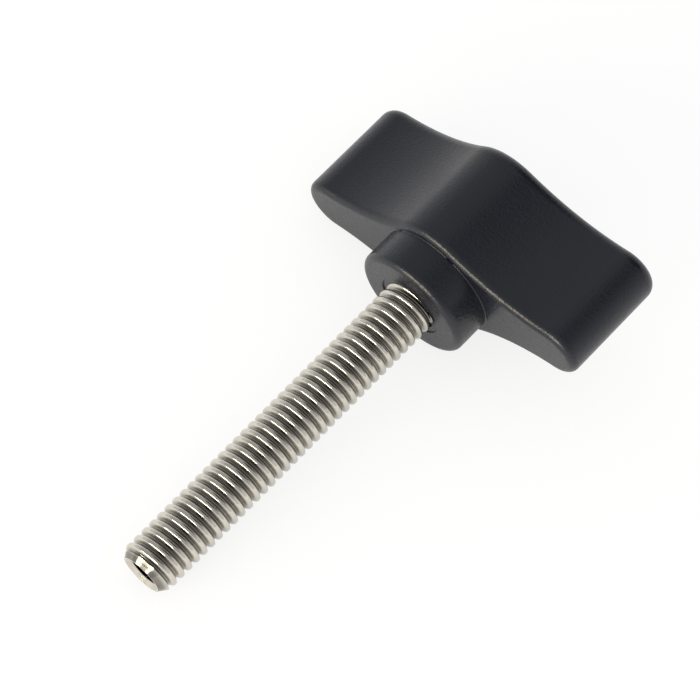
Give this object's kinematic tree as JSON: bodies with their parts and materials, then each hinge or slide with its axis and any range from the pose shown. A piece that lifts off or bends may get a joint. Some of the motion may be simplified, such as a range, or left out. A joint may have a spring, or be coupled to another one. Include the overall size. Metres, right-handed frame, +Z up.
{
  "type": "thumb screw",
  "caption": "Wing thumb screw with a black moulded T handle, a round hub and a long threaded steel stud with a drilled cup in its tip, lying at rest.",
  "frame": {"origin": "on the surface the screw lies on, under the middle of its bounding box", "axes": "+Z up from that surface; the stud lies in the plane X = 0 with its tip toward -Y and dipping to the surface; the wing's +X end stands higher and its -X end touches the surface"},
  "size_m": [0.047, 0.0738, 0.021],
  "materials": {
    "wing_handle": "fine spark-eroded matt black",
    "threaded_stud": "bright rolled stainless thread"
  },
  "bodies": {
    "root": {"wing_handle": "wing_handle", "threaded_stud": "threaded_stud"}
  },
  "joints": []
}
